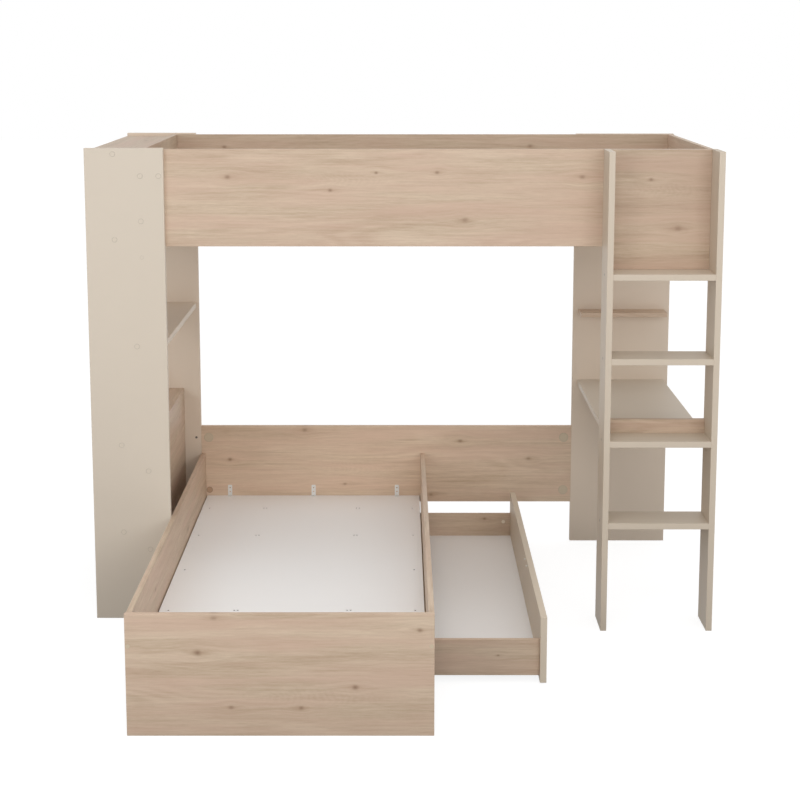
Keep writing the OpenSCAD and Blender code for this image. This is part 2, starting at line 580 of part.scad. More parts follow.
module drawer_bottom() color("#f2f0ee") difference() {
    bottom_sheet(0);
    for (c = CASTORS, s = CASTOR_SCREWS) translate([c[0] + s[0], c[1] + s[1], bottom_z - 0.1])
        cylinder(h = castor_screw_in + 0.6, r = castor_screw_r + fit);
}
module drawer_batten() color("#cbb08a")
    drilled([box_x + drawer_t, (box_y + box_y2 - batten_w) / 2, drawer_box_z],
        [drawer_in_x, (box_y + box_y2 + batten_w) / 2, bottom_z]);
module drawer_cams() color("#d9dadb") for (c = DRAWER_CAMS) cam(c);
module drawer_cam_bolts() color("#b8b9ba") for (c = DRAWER_CAMS) cam_bolt(c);
module drawer_dowels() color("#e0c79c") for (d = DRAWER_DOWELS) at(d[0], d[1]) dowel(2 * d[2]);
module drawer_bumpers() color("#f2f0ee") for (b = BUMPERS) at([drawer_in_x, b[0], b[1]], [1, 0, 0]) {
    cylinder(h = bumper_t, r = bumper_r);
    translate([0, 0, -8.5]) cylinder(h = 8.51, r = bumper_pin_r);
}

// Fixed castors: a plate under the drawer's bottom, two cheeks, an axle and a wheel
module cheek() rotate([90, 0, 0]) translate([0, 0, -cheek_t / 2]) linear_extrude(cheek_t) difference() {
    union() {
        circle(r = 8);
        translate([-8, 0]) square([16, bottom_z - plate_t - wheel_r + 0.1]);
    }
    circle(r = axle_r + fit);
}
module castor_brackets() color("#9c9ea1") for (c = CASTORS) translate([c[0], c[1], wheel_r]) {
    for (s = [-1, 1]) translate([0, s * (wheel_w / 2 + cheek_gap + cheek_t / 2), 0]) cheek();
    translate([0, 0, bottom_z - plate_t - wheel_r]) difference() {
        translate([-26, -20, 0]) cube([52, 40, plate_t]);
        for (s = CASTOR_SCREWS) translate([s[0], s[1], -1])
            cylinder(h = plate_t + 2, r = castor_screw_r + fit);
    }
}
module castor_screws() color("#b8b9ba")
    for (c = CASTORS, s = CASTOR_SCREWS) translate([c[0] + s[0], c[1] + s[1], bottom_z - plate_t]) {
        cylinder(h = plate_t + castor_screw_in, r = castor_screw_r);
        translate([0, 0, -1.8]) difference() {
            cylinder(h = 1.8, r = 3.2);
            for (a = [0, 90]) rotate([0, 0, a]) translate([-2, -0.4, -0.1]) cube([4, 0.8, 1]);
        }
    }
module castor_axles() color("#b8b9ba") for (c = CASTORS) translate([c[0], c[1], wheel_r]) rotate([90, 0, 0]) {
    reach = wheel_w / 2 + cheek_gap + cheek_t + 0.05;
    translate([0, 0, -reach - 0.5]) cylinder(h = 2 * reach + 1, r = axle_r);
    for (s = [0, 1]) mirror([0, 0, s]) translate([0, 0, reach]) cylinder(h = 1.2, r = 4.5);
}
wheel_side = [[axle_r + 0.06, 0], [7, 0], [7, 3], [wheel_r - 4, 3], [wheel_r - 3, 1], [wheel_r - 1, 1],
    [wheel_r, 3]];
module wheel(c) color("#3f4145") translate([c[0], c[1], wheel_r]) rotate([90, 0, 0]) rotate_extrude()
    polygon(concat([for (p = wheel_side) [p[0], p[1] - wheel_w / 2]],
        [for (i = [len(wheel_side) - 1 : -1 : 0]) [wheel_side[i][0], wheel_w / 2 - wheel_side[i][1]]]));
module wheel_front_inner() wheel(CASTORS[0]);
module wheel_rear_inner() wheel(CASTORS[1]);
module wheel_front_outer() wheel(CASTORS[2]);
module wheel_rear_outer() wheel(CASTORS[3]);

tower_front_panel();
tower_rear_panel();
tower_top_board();
tower_niche_board();
tower_middle_shelf();
cabinet_top_board();
cabinet_shelf();
cabinet_back_panel();
upper_front_board();
upper_back_board();
upper_end_board_left();
upper_end_board_right();
upper_base_supports();
upper_base_panel();
lower_front_board();
lower_rail_left();
lower_rail_right();
low_back_board();
lower_base_supports();
lower_base_panel();
base_brackets();
ladder_rail_left();
ladder_rail_right();
ladder_step_1();
ladder_step_2();
ladder_step_3();
ladder_step_4();
ladder_upper_board();
ladder_desk_strip();
desk_top();
desk_rear_panel();
wall_shelf();
connector_screws();
face_screws();
cover_caps();
dowels();
base_screws();
cleat_screws();
desk_cams();
desk_cam_bolts();
corner_bolts();
barrel_nuts();
drawer_front();
drawer_side_front();
drawer_side_rear();
drawer_back();
drawer_bottom();
drawer_batten();
drawer_cams();
drawer_cam_bolts();
drawer_dowels();
drawer_bumpers();
castor_brackets();
castor_screws();
castor_axles();
wheel_front_inner();
wheel_front_outer();
wheel_rear_inner();
wheel_rear_outer();
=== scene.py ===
from math import pi, radians

import bmesh
import bpy
from mathutils import Matrix, Vector


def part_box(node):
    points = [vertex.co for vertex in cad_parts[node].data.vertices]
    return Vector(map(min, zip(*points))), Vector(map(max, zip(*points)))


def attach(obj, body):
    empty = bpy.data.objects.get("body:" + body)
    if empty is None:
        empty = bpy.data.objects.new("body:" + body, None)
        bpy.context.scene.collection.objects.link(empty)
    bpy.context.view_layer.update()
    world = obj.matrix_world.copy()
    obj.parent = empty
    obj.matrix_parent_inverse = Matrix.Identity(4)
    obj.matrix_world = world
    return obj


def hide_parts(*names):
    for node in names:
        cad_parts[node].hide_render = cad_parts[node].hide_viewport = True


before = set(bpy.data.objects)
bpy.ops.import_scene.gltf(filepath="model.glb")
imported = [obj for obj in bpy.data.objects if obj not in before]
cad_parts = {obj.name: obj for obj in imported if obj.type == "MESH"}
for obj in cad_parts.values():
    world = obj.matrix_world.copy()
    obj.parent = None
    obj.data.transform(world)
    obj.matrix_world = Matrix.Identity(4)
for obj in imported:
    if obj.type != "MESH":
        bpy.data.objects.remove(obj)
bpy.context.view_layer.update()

# ---------------------------------------------------------------------------------------------
# Viewpoint. The bed is seen from straight in front, from a little above the upper bed's boards.
# The camera stands where the photograph's stood. It nods down for most of the downward view, so
# that its lens is shifted only a little.
# ---------------------------------------------------------------------------------------------
camera_place = (-0.0075, -5.969, 2.14)
camera_nod = radians(8.99)
lens_data = bpy.data.cameras.new("camera")
lens_data.lens = 75.3
lens_data.sensor_width = 36
lens_data.shift_x = 0.0013
lens_data.shift_y = -0.12
camera = bpy.data.objects.new("camera", lens_data)
camera.location = camera_place
camera.rotation_euler = (pi / 2 - camera_nod, 0, 0)
bpy.context.scene.collection.objects.link(camera)
bpy.context.scene.camera = camera

# ---------------------------------------------------------------------------------------------
# Tower uprights: two full-height panels of beige melamine-faced chipboard, 22 mm thick, with a
# plastic band glued round every edge. Each carries the ends of five shelves and the upper bed's
# left end board, on dowels and on connector screws under round cover caps.
# ---------------------------------------------------------------------------------------------
edge_round = 0.001        # radius that the trimmer leaves on an edge band
glue_line_w = 0.0002      # half the width of the fine groove between band and face
glue_line_d = 0.00015
smooth_below = radians(30)


def start_alone():
    """Leaves edit mode and deselects everything, so that the next operator acts on its own piece."""
    if bpy.context.object and bpy.context.object.mode == "EDIT":
        bpy.ops.object.mode_set(mode="OBJECT")
    bpy.ops.object.select_all(action="DESELECT")


def select_faces(test):
    """In edit mode, selects the faces that pass the test and no others."""
    mesh = bpy.context.object.data
    bpy.ops.mesh.select_mode(type="FACE")
    bpy.ops.mesh.select_all(action="DESELECT")
    shell = bmesh.from_edit_mesh(mesh)
    shell.faces.ensure_lookup_table()
    for face in shell.faces:
        if test(face):
            face.select_set(True)
    bmesh.update_edit_mesh(mesh)


def crisp(piece, sharp_above=smooth_below):
    """Shades the rounded edges smooth and keeps the flats flat."""
    start_alone()
    piece.select_set(True)
    bpy.context.view_layer.objects.active = piece
    bpy.ops.object.shade_smooth_by_angle(angle=sharp_above)
    piece.modifiers.new("flats", "WEIGHTED_NORMAL").keep_sharp = True
    bpy.ops.object.modifier_apply(modifier="flats")


def cut_board(name, low, high, rounding=edge_round):
    """A board cut to size between two corners, with every edge rounded."""
    start_alone()
    bpy.ops.mesh.primitive_cube_add(size=1, location=(low + high) / 2)
    board = bpy.context.object
    board.name = name
    board.scale = high - low
    bpy.ops.object.transform_apply(location=True, rotation=True, scale=True)
    bpy.ops.object.mode_set(mode="EDIT")
    bpy.ops.mesh.select_all(action="SELECT")
    bpy.ops.mesh.bevel(offset=rounding, segments=3, affect="EDGES")
    bpy.ops.object.mode_set(mode="OBJECT")
    return board


def scribe_glue_line(board, thin):
    """Presses the fine groove between the edge band and each large face of a banded board."""
    bpy.ops.object.mode_set(mode="EDIT")
    select_faces(lambda face: abs(face.normal[thin]) > 0.99)
    bpy.ops.mesh.inset(thickness=glue_line_w, depth=-glue_line_d, use_individual=True)
    bpy.ops.mesh.inset(thickness=glue_line_w, depth=glue_line_d, use_individual=True)
    bpy.ops.object.mode_set(mode="OBJECT")


def solids_of(node):
    """The low and high corners of each separate solid in a CAD node, such as a group of screws."""
    shell = bmesh.new()
    shell.from_mesh(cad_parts[node].data)
    bmesh.ops.remove_doubles(shell, verts=shell.verts, dist=1e-6)
    corners = []
    waiting = set(shell.verts)
    while waiting:
        reached = [waiting.pop()]
        for vert in reached:
            for edge in vert.link_edges:
                other = edge.other_vert(vert)
                if other in waiting:
                    waiting.remove(other)
                    reached.append(other)
        low = Vector([min(v.co[i] for v in reached) for i in range(3)])
        high = Vector([max(v.co[i] for v in reached) for i in range(3)])
        corners.append((low, high))
    shell.free()
    return sorted(corners, key=lambda pair: [round(c, 4) for c in (*pair[0], *pair[1])])


def turning_axis(low, high):
    """The axis of a round solid: the one across which its other two sizes are equal."""
    size = high - low
    return min(range(3), key=lambda i: abs(size[i - 1] - size[i - 2]))


def set_into(node, low, high):
    """The fasteners of a group whose outer end lies in a face of the board from low to high.
    Each comes as its two corners, its axis and the side (-1 or 1) on which its outer end is."""
    near = 0.0065   # how far from the face an outer end may lie, such as a screw's under its cap
    found = []
    for solid_low, solid_high in solids_of(node):
        axis = turning_axis(solid_low, solid_high)
        middle = (solid_low + solid_high) / 2
        if any(not low[i] < middle[i] < high[i] for i in range(3) if i != axis):
            continue
        above, below = abs(solid_high[axis] - high[axis]), abs(solid_low[axis] - low[axis])
        if min(above, below) < near:
            found.append((solid_low, solid_high, axis, 1 if above < below else -1))
    return found


towards = [Matrix.Rotation(pi / 2, 4, "Y"), Matrix.Rotation(-pi / 2, 4, "X"), Matrix.Identity(4)]
away = [Matrix.Rotation(-pi / 2, 4, "Y"), Matrix.Rotation(pi / 2, 4, "X"), Matrix.Rotation(pi, 4, "X")]


def stood_in(low, high, axis, side):
    """Stands a piece that points along +Z from the origin in a hole, foot first."""
    foot = (low + high) / 2
    foot[axis] = low[axis] if side > 0 else high[axis]
    return Matrix.Translation(foot) @ (towards if side > 0 else away)[axis]


def carve(piece, tool):
    """Cuts the tool's shape out of a piece and takes the tool away."""
    cut = piece.modifiers.new("cut", "BOOLEAN")
    cut.object = tool
    cut.solver = "EXACT"
    bpy.context.view_layer.objects.active = piece
    bpy.ops.object.modifier_apply(modifier="cut")
    bpy.data.objects.remove(tool)


def drill(board, low, high, fasteners, pin_r=None):
    """Bores the recess of every named fastener whose outer end lies in a face of the board. One
    with a flange on that face gives its pin's radius."""
    fit = 0.00005       # play round the fastener
    deepest = 0.006     # only the mouth of a deeper hole is bored
    overrun = 0.001     # how far the bit starts outside the face
    for node in fasteners:
        for solid_low, solid_high, axis, side in set_into(node, low, high):
            face = high[axis] if side > 0 else low[axis]
            foot = solid_low[axis] if side > 0 else solid_high[axis]
            depth = min(abs(face - foot), deepest)
            centre = (solid_low + solid_high) / 2
            radius = (pin_r or (solid_high - solid_low)[axis - 1] / 2) + fit
            centre[axis] = face + side * (overrun - depth) / 2
            start_alone()
            bpy.ops.mesh.primitive_cylinder_add(vertices=40, radius=radius, depth=depth + overrun)
            bit = bpy.context.object
            bit.matrix_world = Matrix.Translation(centre) @ (towards if side > 0 else away)[axis]
            carve(board, bit)


def panel(node, look, holes_for=(), body="frame", banded=True, pin_r=None):
    """A finished board in the place of a CAD node: cut, banded, drilled and faced."""
    low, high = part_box(node)
    thin = min(range(3), key=lambda i: (high - low)[i])
    board = cut_board(node + "_board", low, high)
    if banded:
        scribe_glue_line(board, thin)
    drill(board, low, high, holes_for, pin_r)
    crisp(board)
    board.data.materials.append(look)
    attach(board, body)
    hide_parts(node)


def add_node(tree, kind, links=None, **settings):
    """Adds a shader node: links maps its inputs to values or to the sockets that feed them."""
    made = tree.nodes.new(kind)
    for key, value in settings.items():
        setattr(made, key, value)
    for socket, value in (links or {}).items():
        if isinstance(value, bpy.types.NodeSocket):
            tree.links.new(value, made.inputs[socket])
        else:
            made.inputs[socket].default_value = value
    return made


def maths(tree, operation, *values):
    """One Math node, as the socket that it puts out."""
    return add_node(tree, "ShaderNodeMath", dict(enumerate(values)), operation=operation).outputs[0]


def stretched_noise(tree, where, stretch, detail=2.0):
    """Noise drawn out along a direction: stretch is its frequency per metre along x, y and z."""
    spread = add_node(tree, "ShaderNodeVectorMath", {0: where, 1: stretch}, operation="MULTIPLY")
    return add_node(tree, "ShaderNodeTexNoise", {"Vector": spread.outputs[0], "Scale": 1.0,
                                                 "Detail": detail}).outputs["Fac"]


def tint(tree, amount, colour_a, colour_b):
    """Two colours mixed by an amount, as the socket that it puts out."""
    mixed = add_node(tree, "ShaderNodeMix", {0: amount, 6: colour_a, 7: colour_b}, data_type="RGBA")
    return mixed.outputs[2]


def rgb(red, green, blue):
    """A colour as it is read off a screen, 0 to 255, made linear."""
    return [((c / 255 + 0.055) / 1.055) ** 2.4 if c > 10 else c / 255 / 12.92
            for c in (red, green, blue)] + [1.0]


def new_group(name, inputs, outputs):
    """An empty shader node group with its sockets, and its input and output nodes."""
    tree = bpy.data.node_groups.new(name, "ShaderNodeTree")
    kinds = {"v": "NodeSocketVector", "f": "NodeSocketFloat", "c": "NodeSocketColor"}
    for socket, kind, value in inputs:
        tree.interface.new_socket(socket, in_out="INPUT", socket_type=kinds[kind]).default_value = value
    for socket, kind in outputs:
        tree.interface.new_socket(socket, in_out="OUTPUT", socket_type=kinds[kind])
    return tree, add_node(tree, "NodeGroupInput").outputs, add_node(tree, "NodeGroupOutput").inputs


# The pressed plastic film on a plain board: an even colour with a faint cloudiness, and a fine
# pearl in its surface that spreads the highlights.
film, film_in, film_out = new_group(
    "pressed film",
    [("Position", "v", (0, 0, 0)), ("Colour", "c", (0.8, 0.8, 0.8, 1)), ("Cloud", "f", 0.05),
     ("Roughness", "f", 0.5)],
    [("Colour", "c"), ("Roughness", "f"), ("Height", "f")])
cloud = stretched_noise(film, film_in["Position"], (3.0, 3.0, 2.2), 3.0)
pearl = stretched_noise(film, film_in["Position"], (900, 900, 900), 1.0)
smear = stretched_noise(film, film_in["Position"], (7, 7, 2.5), 4.0)
shade = maths(film, "MULTIPLY_ADD", cloud, film_in["Cloud"],
              maths(film, "MULTIPLY_ADD", film_in["Cloud"], -0.5, 1.0))
film.links.new(add_node(film, "ShaderNodeVectorMath", {0: film_in["Colour"], 1: add_node(
    film, "ShaderNodeCombineXYZ", {0: shade, 1: shade, 2: shade}).outputs[0]},
    operation="MULTIPLY").outputs[0], film_out["Colour"])
film.links.new(maths(film, "ADD", film_in["Roughness"],
                     maths(film, "MULTIPLY_ADD", smear, 0.12, -0.06)), film_out["Roughness"])
film.links.new(pearl, film_out["Height"])


def shader_of(name):
    """A new material's node tree, its Principled BSDF and its Object coordinates."""
    material = bpy.data.materials.new(name)
    material.use_nodes = True
    tree = material.node_tree
    return material, tree, tree.nodes["Principled BSDF"], add_node(tree, "ShaderNodeTexCoord").outputs


def relief(tree, surface, height, depth):
    """Turns a height of 0 to 1 into a bump of that depth, in metres."""
    raised = add_node(tree, "ShaderNodeBump", {"Height": height, "Distance": depth, "Strength": 1.0})
    tree.links.new(raised.outputs["Normal"], surface.inputs["Normal"])


def film_faced(name, colour, cloudiness, roughness, pearl_depth=0.00003):
    """The finish of a board faced with plain pressed film."""
    material, tree, surface, place = shader_of(name)
    skin = add_node(tree, "ShaderNodeGroup", node_tree=film)
    tree.links.new(place["Object"], skin.inputs["Position"])
    skin.inputs["Colour"].default_value = colour
    skin.inputs["Cloud"].default_value = cloudiness
    skin.inputs["Roughness"].default_value = roughness
    tree.links.new(skin.outputs["Colour"], surface.inputs["Base Color"])
    tree.links.new(skin.outputs["Roughness"], surface.inputs["Roughness"])
    relief(tree, surface, skin.outputs["Height"], pearl_depth)
    surface.inputs["Specular IOR Level"].default_value = 0.35
    return material


beige_film = film_faced("beige film", rgb(214, 202, 186), 0.04, 0.5)
# A lighter, warmer copy of the beige for the boards deep in the frame, the tower's rear panel, its
# middle shelf and the desk's rear panel: painted bounce light.
painted_bounce_film = film_faced("beige film with painted bounce light", rgb(225, 209, 191), 0.04, 0.5)

panel("tower_front_panel", beige_film, ["cover_caps", "connector_screws", "face_screws"])
panel("tower_rear_panel", painted_bounce_film,
      ["cover_caps", "connector_screws", "face_screws", "barrel_nuts"])

# ---------------------------------------------------------------------------------------------
# Tower shelves: oak-patterned boards, 18 mm, that close the top niche above and below, and the
# boards of the low cabinet. Their printed grain runs along their length, and a band of the same
# pattern covers their edges. The open shelf halfway up is a beige board like the uprights.
# ---------------------------------------------------------------------------------------------
oak_light = rgb(214, 194, 171)
oak_dark = rgb(182, 157, 133)
oak_rosy = rgb(209, 178, 159)
# The next two sets are the oak tones made lighter, as painted light, for the low back board deep under
# the upper bed, and made darker, as painted shade, for the boards that get less light.
painted_light_oak = (rgb(226, 204, 180), rgb(194, 168, 142), rgb(220, 189, 168))
painted_shade_oak = (rgb(203, 183, 160), rgb(171, 147, 124), rgb(199, 169, 150))
knot_brown = rgb(118, 88, 64)
knots_at_most = 6
flames_at_most = 2
nowhere = (-9, 0, 0.01)

# Grain that runs along x. Position is measured from the board's low corner, along, across and
# through it, and Facing is the face's direction in the same axes. Streaks and fibres flow round
# the knots, each given as (along, across, size). A flame is a thin dark wisp and the heart a row of
# arches, where the cut grazes the year rings, each given as (along, across, half its length).
grain, grain_in, grain_out = new_group(
    "board grain",
    [("Position", "v", (0, 0, 0)), ("Facing", "v", (0, 0, 1)), ("Start", "v", (0, 0, 0)),
     ("Light", "c", oak_light), ("Dark", "c", oak_dark), ("Rosy", "c", oak_rosy), ("Contrast", "f", 1.0),
     ("Heart", "v", nowhere)]
    + [(f"Knot {number}", "v", nowhere) for number in range(1, knots_at_most + 1)]
    + [(f"Flame {number}", "v", nowhere) for number in range(1, flames_at_most + 1)],
    [("Colour", "c"), ("Roughness", "f"), ("Height", "f")])
spot = add_node(grain, "ShaderNodeSeparateXYZ", {0: grain_in["Position"]}).outputs
facing = add_node(grain, "ShaderNodeSeparateXYZ", {0: grain_in["Facing"]}).outputs
on_end = maths(grain, "GREATER_THAN", maths(grain, "ABSOLUTE", facing[0]), 0.7)
along = add_node(grain, "ShaderNodeMix", {0: on_end, 2: spot[0], 3: spot[1]}).outputs[0]
across = add_node(grain, "ShaderNodeMix", {
    0: on_end, 2: maths(grain, "ADD", spot[1], spot[2]),
    3: maths(grain, "ADD", spot[2], spot[0])}).outputs[0]


def times(value, factor):
    return maths(grain, "MULTIPLY", value, factor)


def plus(value, other):
    return maths(grain, "ADD", value, other)


def bell(value, width):
    """1 where the value is 0, falling smoothly to 0 over the width."""
    share = maths(grain, "DIVIDE", value, width)
    return maths(grain, "EXPONENT", times(times(share, share), -1.0))


def ramp(value, low, high, bottom, top):
    """The value's place between low and high, drawn from bottom to top and held at both ends."""
    return add_node(grain, "ShaderNodeMapRange", {0: value, 1: low, 2: high, 3: bottom,
                                                  4: top}).outputs[0]


flow = across
knot_core = knot_shade = 0.0
for number in range(1, knots_at_most + 1):
    knot = add_node(grain, "ShaderNodeSeparateXYZ", {0: grain_in[f"Knot {number}"]}).outputs
    sideways = maths(grain, "SUBTRACT", across, knot[1])
    lengthways = maths(grain, "SUBTRACT", along, knot[0])
    near = times(bell(sideways, times(knot[2], 3.0)), bell(lengthways, times(knot[2], 6.0)))
    flow = maths(grain, "MULTIPLY_ADD", times(sideways, near), -0.75, flow)
    core = times(bell(sideways, times(knot[2], 0.75)), bell(lengthways, knot[2]))
    tail = times(bell(sideways, times(knot[2], 0.8)), bell(lengthways, times(knot[2], 3.5)))
    knot_core = maths(grain, "MAXIMUM", knot_core, core)
    knot_shade = maths(grain, "MAXIMUM", knot_shade, tail)
for number in range(1, flames_at_most + 1):
    wisp = add_node(grain, "ShaderNodeSeparateXYZ", {0: grain_in[f"Flame {number}"]}).outputs
    sideways = maths(grain, "SUBTRACT", across, wisp[1])
    lengthways = maths(grain, "SUBTRACT", along, wisp[0])
    tail = times(bell(sideways, 0.0032), bell(lengthways, wisp[2]))
    knot_shade = maths(grain, "MAXIMUM", knot_shade, tail)

flat_spot = add_node(grain, "ShaderNodeCombineXYZ", {0: along, 1: flow}).outputs[0]
print_spot = add_node(grain, "ShaderNodeVectorMath", {0: flat_spot, 1: grain_in["Start"]},
                      operation="ADD").outputs[0]
plank = stretched_noise(grain, print_spot, (0.6, 7, 1), 2.0)
tone = stretched_noise(grain, print_spot, (2.1, 28, 2), 3.0)
streak = stretched_noise(grain, print_spot, (6, 130, 3), 4.0)
fibre = stretched_noise(grain, print_spot, (28, 520, 4), 3.0)
pore = stretched_noise(grain, print_spot, (85, 1300, 5), 1.0)
hue = stretched_noise(grain, print_spot, (1.5, 16, 6), 3.0)
dash = ramp(pore, 0.62, 0.72, 0.0, 1.0)
line = ramp(stretched_noise(grain, print_spot, (4, 75, 7), 2.0), 0.62, 0.74, 0.0, 1.0)

heart = add_node(grain, "ShaderNodeSeparateXYZ", {0: grain_in["Heart"]}).outputs
off_heart = plus(maths(grain, "SUBTRACT", flow, heart[1]),
                 maths(grain, "MULTIPLY_ADD", tone, 0.02, -0.01))
from_heart = maths(grain, "SUBTRACT", along, heart[0])
rounded = maths(grain, "SQRT", maths(grain, "MULTIPLY_ADD", off_heart, off_heart, 0.00006))
arch = plus(times(rounded, 42.0), times(from_heart, 48.0))
drift = stretched_noise(grain, print_spot, (26, 40, 3), 2.0)
arch = plus(arch, plus(times(tone, 3.0), times(drift, 2.0)))
figure = times(maths(grain, "SINE", times(arch, 2 * pi)), times(
    times(bell(off_heart, 0.024), bell(from_heart, heart[2])), plus(drift, 0.5)))
slope = stretched_noise(grain, print_spot, (0.8, 4.2, 8), 1.5)
rings = maths(grain, "SINE", times(slope, 150.0))
ring_strength = ramp(stretched_noise(grain, print_spot, (0.9, 6, 9), 1.0), 0.46, 0.68, 0.0, 0.16)

darkness = maths(grain, "MULTIPLY_ADD", rings, ring_strength, 0.0)
for layer, weight in ((plank, 0.65), (tone, 1.15), (streak, 1.15), (fibre, 0.9)):
    darkness = maths(grain, "MULTIPLY_ADD", maths(grain, "SUBTRACT", layer, 0.5), weight, darkness)
darkness = maths(grain, "MULTIPLY_ADD", figure, 0.09, darkness)
darkness = maths(grain, "MULTIPLY_ADD", line, 0.2, darkness)
darkness = maths(grain, "MULTIPLY_ADD", dash, 0.25, darkness)
darkness = maths(grain, "MULTIPLY_ADD", times(knot_shade, plus(streak, 0.4)), 0.6, darkness)
darkness = maths(grain, "MULTIPLY_ADD", darkness, grain_in["Contrast"], 0.42)
wood = tint(grain, add_node(grain, "ShaderNodeClamp", {0: darkness}).outputs[0],
            grain_in["Light"], grain_in["Dark"])
wood = tint(grain, ramp(hue, 0.4, 0.62, 0.0, 0.5), wood, grain_in["Rosy"])
wood = tint(grain, times(knot_core, plus(drift, 0.02)), wood, knot_brown)
grain.links.new(wood, grain_out["Colour"])
grain.links.new(maths(grain, "MULTIPLY_ADD", fibre, 0.14, 0.4), grain_out["Roughness"])
grain.links.new(maths(grain, "SUBTRACT", fibre, times(dash, 0.6)), grain_out["Height"])

AXES = {"X": Vector((1, 0, 0)), "Y": Vector((0, 1, 0)), "Z": Vector((0, 0, 1))}


def grained(name, node, runs, rises, start, knots=(), flames=(), heart=nowhere,
            tones=(oak_light, oak_dark, oak_rosy), contrast=1.0):
    """The finish of a board whose grain runs along one axis and whose width rises along another.
    Knots, flames and the heart are given in metres from the board's low corner."""
    low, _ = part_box(node)
    turn = Matrix((AXES[runs], AXES[rises], AXES[runs].cross(AXES[rises])))
    material, tree, surface, place = shader_of(name)
    position = add_node(tree, "ShaderNodeMapping", {
        "Vector": place["Object"], "Location": -(turn @ low), "Rotation": turn.to_euler()})
    direction = add_node(tree, "ShaderNodeMapping", {
        "Vector": place["Normal"], "Rotation": turn.to_euler()}, vector_type="VECTOR")
    skin = add_node(tree, "ShaderNodeGroup", node_tree=grain)
    tree.links.new(position.outputs[0], skin.inputs["Position"])
    tree.links.new(direction.outputs[0], skin.inputs["Facing"])
    skin.inputs["Start"].default_value = (start * 3.7, start * 1.9, 0)
    settings = dict(zip(("Light", "Dark", "Rosy"), tones), Contrast=contrast, Heart=heart)
    settings.update((f"Knot {number}", knot) for number, knot in enumerate(knots, 1))
    settings.update((f"Flame {number}", flame) for number, flame in enumerate(flames, 1))
    for socket, value in settings.items():
        skin.inputs[socket].default_value = value
    tree.links.new(skin.outputs["Colour"], surface.inputs["Base Color"])
    tree.links.new(skin.outputs["Roughness"], surface.inputs["Roughness"])
    relief(tree, surface, skin.outputs["Height"], 0.00004)
    surface.inputs["Specular IOR Level"].default_value = 0.3
    return material


def oak_panel(node, runs, rises, start, holes_for=(), body="frame", **marks):
    """A banded board faced with the oak pattern."""
    look = grained("oak " + node, node, runs, rises, start, **marks)
    panel(node, look, holes_for, body)


oak_panel("tower_top_board", "Y", "X", 1, tones=painted_shade_oak, knots=[(0.62, 0.11, 0.008)])
oak_panel("tower_niche_board", "Y", "X", 2, knots=[(0.35, 0.06, 0.007)])
panel("tower_middle_shelf", painted_bounce_film)
oak_panel("cabinet_top_board", "Y", "X", 3, heart=(0.5, 0.12, 0.15))
oak_panel("cabinet_shelf", "Y", "X", 4, knots=[(0.48, 0.12, 0.007)])
oak_panel("cabinet_back_panel", "Y", "Z", 5,
          knots=[(0.31, 0.52, 0.009), (0.66, 0.2, 0.008), (0.8, 0.6, 0.006)], heart=(0.45, 0.4, 0.2))

# ---------------------------------------------------------------------------------------------
# Upper bed: a box of four oak-patterned boards, 18 mm. The long front and back boards run from
# the tower to the ladder and the leg panel, and the end boards tie them together.
# ---------------------------------------------------------------------------------------------
oak_panel("upper_front_board", "X", "Z", 6,
          knots=[(0.302, 0.252, 0.009), (0.673, 0.204, 0.007), (1.058, 0.268, 0.007),
                 (1.16, 0.096, 0.011), (1.581, 0.252, 0.009), (0.839, 0.267, 0.006)],
          flames=[(0.65, 0.206, 0.07), (1.6, 0.252, 0.05)], heart=(0.736, 0.241, 0.16))
oak_panel("upper_back_board", "X", "Z", 7, ["face_screws"], tones=painted_shade_oak,
          knots=[(0.196, 0.3, 0.008), (1.465, 0.304, 0.009), (0.8, 0.12, 0.009), (1.2, 0.22, 0.007)],
          flames=[(1.43, 0.303, 0.07), (0.76, 0.122, 0.05)], heart=(0.52, 0.2, 0.2))
oak_panel("upper_end_board_left", "Y", "Z", 8, tones=painted_shade_oak,
          knots=[(0.4, 0.3, 0.008), (0.72, 0.15, 0.007)], heart=(0.5, 0.2, 0.15))
oak_panel("upper_end_board_right", "Y", "Z", 9, knots=[(0.7, 0.24, 0.008), (0.25, 0.12, 0.007)],
          heart=(0.45, 0.15, 0.15))

# Upper base: planed softwood cleats along the sides and battens across, with a white-faced panel
# laid on them and screwed down.
pine_light = rgb(219, 195, 156)
pine_dark = rgb(196, 163, 118)
pine_rosy = rgb(211, 178, 140)
planed_round = 0.002


def timber_bars(node, runs, rises, start, body="frame"):
    """The cleats and battens of a base, each a planed bar with eased edges."""
    look = grained("pine " + node, node, runs, rises, start, tones=(pine_light, pine_dark, pine_rosy),
                   contrast=1.5)
    bars = [cut_board(f"{node}_bar", low, high, planed_round) for low, high in solids_of(node)]
    start_alone()
    for bar in bars:
        bar.select_set(True)
    bpy.context.view_layer.objects.active = bars[0]
    if len(bars) > 1:
        bpy.ops.object.join()
    crisp(bars[0])
    bars[0].name = node + "_timber"
    bars[0].data.materials.append(look)
    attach(bars[0], body)
    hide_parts(node)


white_film = film_faced("white film", rgb(248, 247, 246), 0.015, 0.38, 0.00002)

timber_bars("upper_base_supports", "X", "Y", 10)
panel("upper_base_panel", white_film, ["base_screws"], banded=False)

